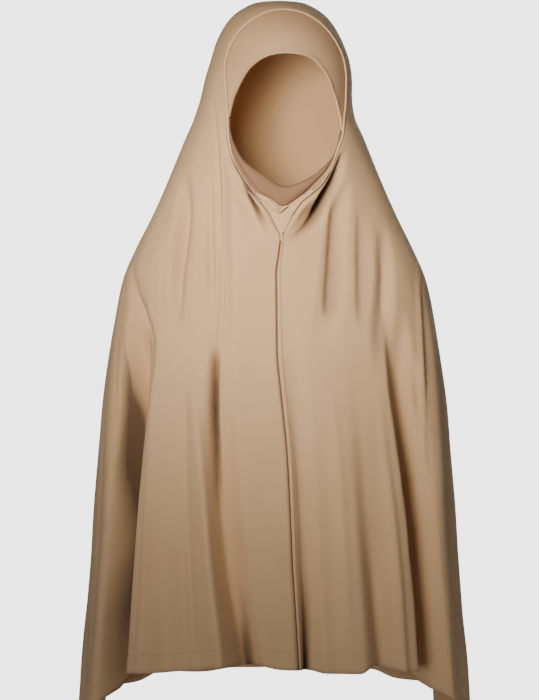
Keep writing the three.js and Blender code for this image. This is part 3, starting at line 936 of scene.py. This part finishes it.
# Painted shade: the closed creases, the line of the seam and the rim at the throat are darkened towards
# a brown that stands in for the shadow in them
# Painted shade in the closed creases, at its full strength 12 mm deep
deep = node(
    jersey,
    "ShaderNodeMapRange",
    {"Value": distance_node(jersey, "crease")},
    From_Max=0.012,
    To_Max=0.85,
)
# Painted shadow of the seam's ditch: darkest within 0.5 mm of it, gone by 1.5 mm
seam_painted_shadow = node(
    jersey,
    "ShaderNodeMapRange",
    {"Value": calculate(jersey, "ABSOLUTE", across, 0.0)},
    From_Min=0.0005,
    From_Max=0.0015,
    To_Min=0.88,
    To_Max=0.0,
)
# Painted shadow along the cloth's rim at the throat, gone 2.2 mm in from the edge
throat_rim_painted_shadow = node(
    jersey,
    "ShaderNodeMapRange",
    {"Value": distance_node(jersey, "rim")},
    From_Min=0.0008,
    From_Max=0.0022,
    To_Min=0.85,
    To_Max=0.0,
)
painted_shade = calculate(jersey, "MAXIMUM", deep.outputs[0], seam_painted_shadow.outputs[0])
painted_shade = calculate(jersey, "MAXIMUM", painted_shade, throat_rim_painted_shadow.outputs[0])
shaded = node(jersey, "ShaderNodeMix", data_type="RGBA")
link(jersey, painted_shade, shaded.inputs["Factor"])
link(jersey, tint.outputs[0], shaded.inputs["A"])
shaded.inputs["B"].default_value = hex_colour(painted_shade_brown)
link(jersey, shaded.outputs["Result"], jersey_shader.inputs["Base Color"])
# The hem is turned up 22 mm and sewn with a fine line of 3 mm stitches
turned_up, sewn_at, thread_half, stitch_half, stitch_gap = 0.0215, 0.022, 0.0006, 0.0015, 0.0004
hem_away = distance_node(jersey, "from_hem")
from_stitch = calculate(jersey, "ABSOLUTE", calculate(jersey, "SUBTRACT", hem_away, sewn_at), 0.0)
on_line = calculate(jersey, "LESS_THAN", from_stitch, thread_half)
dash = calculate(jersey, "PINGPONG", across, stitch_half)
in_stitch = calculate(jersey, "GREATER_THAN", dash, stitch_gap)
stitch = calculate(jersey, "MULTIPLY", on_line, in_stitch)
turned = calculate(jersey, "LESS_THAN", hem_away, turned_up)
step = node(
    jersey,
    "ShaderNodeBump",
    {"Height": turned, "Normal": bump.outputs[0]},
    Strength=0.6,
    Distance=0.0008,
)
sewn = node(
    jersey,
    "ShaderNodeBump",
    {"Height": stitch, "Normal": step.outputs[0]},
    Strength=0.6,
    Distance=-0.0006,
)
link(jersey, sewn.outputs[0], jersey_shader.inputs["Normal"])
veil.data.materials.append(jersey)

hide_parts("veil")
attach(veil, "root")


# Bands. Two strips of the same jersey, doubled, are sewn inside the hood: one across the forehead and
# one, softly rolled, below the chin. They end in a joint on either side and are stitched to the hood
# along the edge that it hides.
band_wall, clearance = 2.2, 0.8
chin_roll, chin_full_width, chin_fullness = 4.5, 14, 0.7
edge_width, edge_height = 3.2, 2.6
joint_angle, joint_gap = 104, 0.4
band_top = -wall - clearance
band_foot = band_top - band_wall
free_edge = edge_offset(edge_width + 2 * clearance)


def lifted(angle, distance, lift):
    """Points over or under the plain form, at angles and distances from the middle of the face."""
    x, y = face_place(angle, distance)
    return plain_point(x, y) + outward_of(x, y) * lift[..., None]


def closed_mesh(name, top, foot):
    """A solid between an outer and an inner grid of points, joined along its four rims."""
    wide, tall = top.shape[:2]
    t, f = np.arange(2 * wide * tall).reshape(2, wide, tall)

    def quads(a, b, c, d):
        return np.stack([a.ravel(), b.ravel(), c.ravel(), d.ravel()], -1)

    faces = [
        quads(t[:-1, :-1], t[:-1, 1:], t[1:, 1:], t[1:, :-1]),
        quads(f[:-1, :-1], f[1:, :-1], f[1:, 1:], f[:-1, 1:]),
        quads(t[:-1, 0], t[1:, 0], f[1:, 0], f[:-1, 0]),
        quads(t[:-1, -1], f[:-1, -1], f[1:, -1], t[1:, -1]),
        quads(t[0, :-1], f[0, :-1], f[0, 1:], t[0, 1:]),
        quads(t[-1, :-1], t[-1, 1:], f[-1, 1:], f[-1, :-1]),
    ]
    points = np.concatenate([top.reshape(-1, 3), foot.reshape(-1, 3)])
    obj = cloth_object(name, points, np.concatenate(faces).tolist())
    around = np.cumsum(np.linalg.norm(np.diff(top, axis=0, prepend=top[:1]), axis=-1), axis=0)
    inward = np.cumsum(np.linalg.norm(np.diff(top, axis=1, prepend=top[:, :1]), axis=-1), axis=1)
    add_distance(obj, "around", np.stack([around, around]))
    add_distance(obj, "inward", np.stack([inward, inward]))
    return obj


def band_grid(first, last, around, inward, crowding=1):
    """Angles round the face, and shares of the way out from the face opening, for a grid."""
    shares = np.linspace(0, 1, inward) ** crowding
    return np.meshgrid(np.linspace(first, last, around), shares, indexing="ij")


def band_material(name, light, dark):
    material, shader = new_material(name)
    around, inward = distance_node(material, "around"), distance_node(material, "inward")
    knit(material, shader, around, inward, light, dark)
    return material


def edge_round(away, thickness):
    """How far a rounded edge has reached its full thickness, at a distance in from it."""
    u = 1 - np.minimum(away / (thickness / 2), 1)
    return thickness / 2 * (1 - np.sqrt(1 - u * u))


# Doubled viscose jersey: lies flat and smooth, a trace darker than the single cloth
brow_jersey = band_material("doubled viscose jersey", "#cfa67d", "#c99f75")
angle, v = band_grid(joint_angle + joint_gap, 360 - joint_angle - joint_gap, 220, 34, crowding=1.7)
width = under_edge(angle) - face_edge(angle)
distance = face_edge(angle) + width * v
away = width * v
# The rim of the face opening is turned in 8 mm and stands up in a soft roll
turn_in, turn_fade, turn_lift = 7, 2, 0.5
rim_lift, rim_away, rim_width = 0.8, 2, 1.8
rim = turn_lift * (1 - soft((away - turn_in) / turn_fade))
rim = rim + rim_lift * np.exp(-(((away - rim_away) / rim_width) ** 2))
pinch = edge_round(away, band_wall)
forehead = closed_mesh(
    "forehead_band_cloth",
    lifted(angle, distance, band_top - pinch + rim),
    lifted(angle, distance, band_foot + pinch),
)
forehead.data.materials.append(brow_jersey)
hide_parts("forehead_band")
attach(forehead, "root")

angle, v = band_grid(joint_gap - joint_angle, joint_angle - joint_gap, 240, 30)
outside = np.minimum(under_edge(angle), chin_edge(angle))
free_width = np.minimum(free_edge(angle), chin_edge(angle)) - face_edge(angle)
away = (outside - face_edge(angle)) * v
share = away / np.maximum(1, free_width)
roll_height = chin_roll * soft(free_width / chin_full_width)
roll = np.where(share < 1, roll_height * np.sin(np.pi * np.clip(share, 0, 1)) ** chin_fullness, 0)
pinch = edge_round(away, band_wall)
distance = face_edge(angle) + away
chin = closed_mesh(
    "chin_band_cloth",
    lifted(angle, distance, band_top + roll - pinch),
    lifted(angle, distance, band_foot + pinch),
)
# Rolled viscose jersey, coloured a darker and greyer brown as painted shade, for the roll that turns
# down from the light
chin_jersey_painted_shade = band_material("rolled viscose jersey in painted shade", "#8e6c50", "#87644a")
chin.data.materials.append(chin_jersey_painted_shade)
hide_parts("chin_band")
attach(chin, "root")


# Gusset. A triangle of the jersey fills the V at the throat. Its upper edge runs under the chin band
# and its sides are sewn under the veil's edge. A tuck of it lies crumpled below the chin band's left
# half.
insert_angle, tuck_width, tuck_height, tuck_rim = 42, 10, 5, 2
tuck_start, tuck_end, tuck_taper = -25, 8, 14
tuck_foot = band_top + clearance
# Gusset viscose jersey: one stretched layer, a shade lighter than the veil
gusset_jersey = band_material("gusset viscose jersey", "#d9b087", "#d2a980")
angle, v = band_grid(-insert_angle, insert_angle, 110, 40)
inner = chin_edge(angle) - underlap
distance = mix(inner, under_edge(angle), v)
clear_of_band = soft((distance - chin_edge(angle) - underlap) / tuck_width)
top = mix(band_foot - clearance, band_top, clear_of_band)
insert = closed_mesh("gusset_cloth", lifted(angle, distance, top), lifted(angle, distance, top - wall))
insert.data.materials.append(gusset_jersey)
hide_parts("neck_insert")
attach(insert, "root")

angle, v = band_grid(tuck_start, tuck_end, 90, 26)
swell = soft((angle - tuck_start) / tuck_taper) * soft((tuck_end - angle) / tuck_taper)
start = chin_edge(angle) + clearance
stop = np.minimum(start + tuck_rim + tuck_width * swell, free_edge(angle))
large_creases = np.cos(np.radians(30 * angle + 300 * v))
small_creases = np.cos(np.radians(55 * angle - 260 * v))
crumple = 0.72 + 0.2 * large_creases + 0.08 * small_creases
lift = tuck_foot + clearance + tuck_height * swell * np.sin(np.pi * v) * crumple
distance = mix(start, stop, v)
tuck = closed_mesh(
    "throat_tuck_cloth",
    lifted(angle, distance, lift),
    lifted(angle, distance, np.full_like(lift, tuck_foot)),
)
tuck.data.materials.append(gusset_jersey)
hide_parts("throat_tuck")
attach(tuck, "root")


# Rolled edge. The veil's front edge is bound over a cord, which shows as a fine light line over the
# forehead and runs out to almost nothing beside the V.
piping_points, piping_sides = 420, 12
thin_share, thin_angle, full_after = 0.3, 60, 36
angle = np.linspace(throat_angle, 360 - throat_angle, piping_points)
x, y, point, outward, inward = edge_frame(angle)
from_foot = np.minimum(angle, 360 - angle)
size = mix(thin_share, 1.0, soft((from_foot - thin_angle) / full_after))[:, None]
middle = point + inward * (clearance + edge_width / 2 * size) + outward * (edge_height / 2 - wall)
ring = np.linspace(0, 2 * np.pi, piping_sides + 1)[:-1]
tube = np.stack(
    [
        middle
        + inward * (edge_width / 2 * size * math.cos(t))
        + outward * (edge_height / 2 * size * math.sin(t))
        for t in -ring
    ],
    axis=1,
)
here = np.arange(len(angle) - 1)[:, None] * piping_sides
side = np.arange(piping_sides)[None, :]
beside = (side + 1) % piping_sides
walls = np.stack(
    [here + side, here + piping_sides + side, here + piping_sides + beside, here + beside], -1
)
last = piping_sides * (len(angle) - 1)
caps = [list(range(piping_sides)), [last + i for i in reversed(range(piping_sides))]]
piping = cloth_object("edge_piping_cloth", tube, walls.reshape(-1, 4).tolist() + caps)
along_line = np.cumsum(np.linalg.norm(np.diff(middle, axis=0, prepend=middle[:1]), axis=-1))
add_distance(piping, "around", np.repeat(along_line, piping_sides))
add_distance(piping, "inward", np.tile(ring * edge_width / 2, len(angle)))
# Bound jersey edge: pulled tight over its cord, so it looks the lightest
edge_jersey = band_material("bound jersey edge", "#dcb892", "#d6b189")
piping.data.materials.append(edge_jersey)
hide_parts("edge_piping")
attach(piping, "root")


bpy.context.view_layer.update()
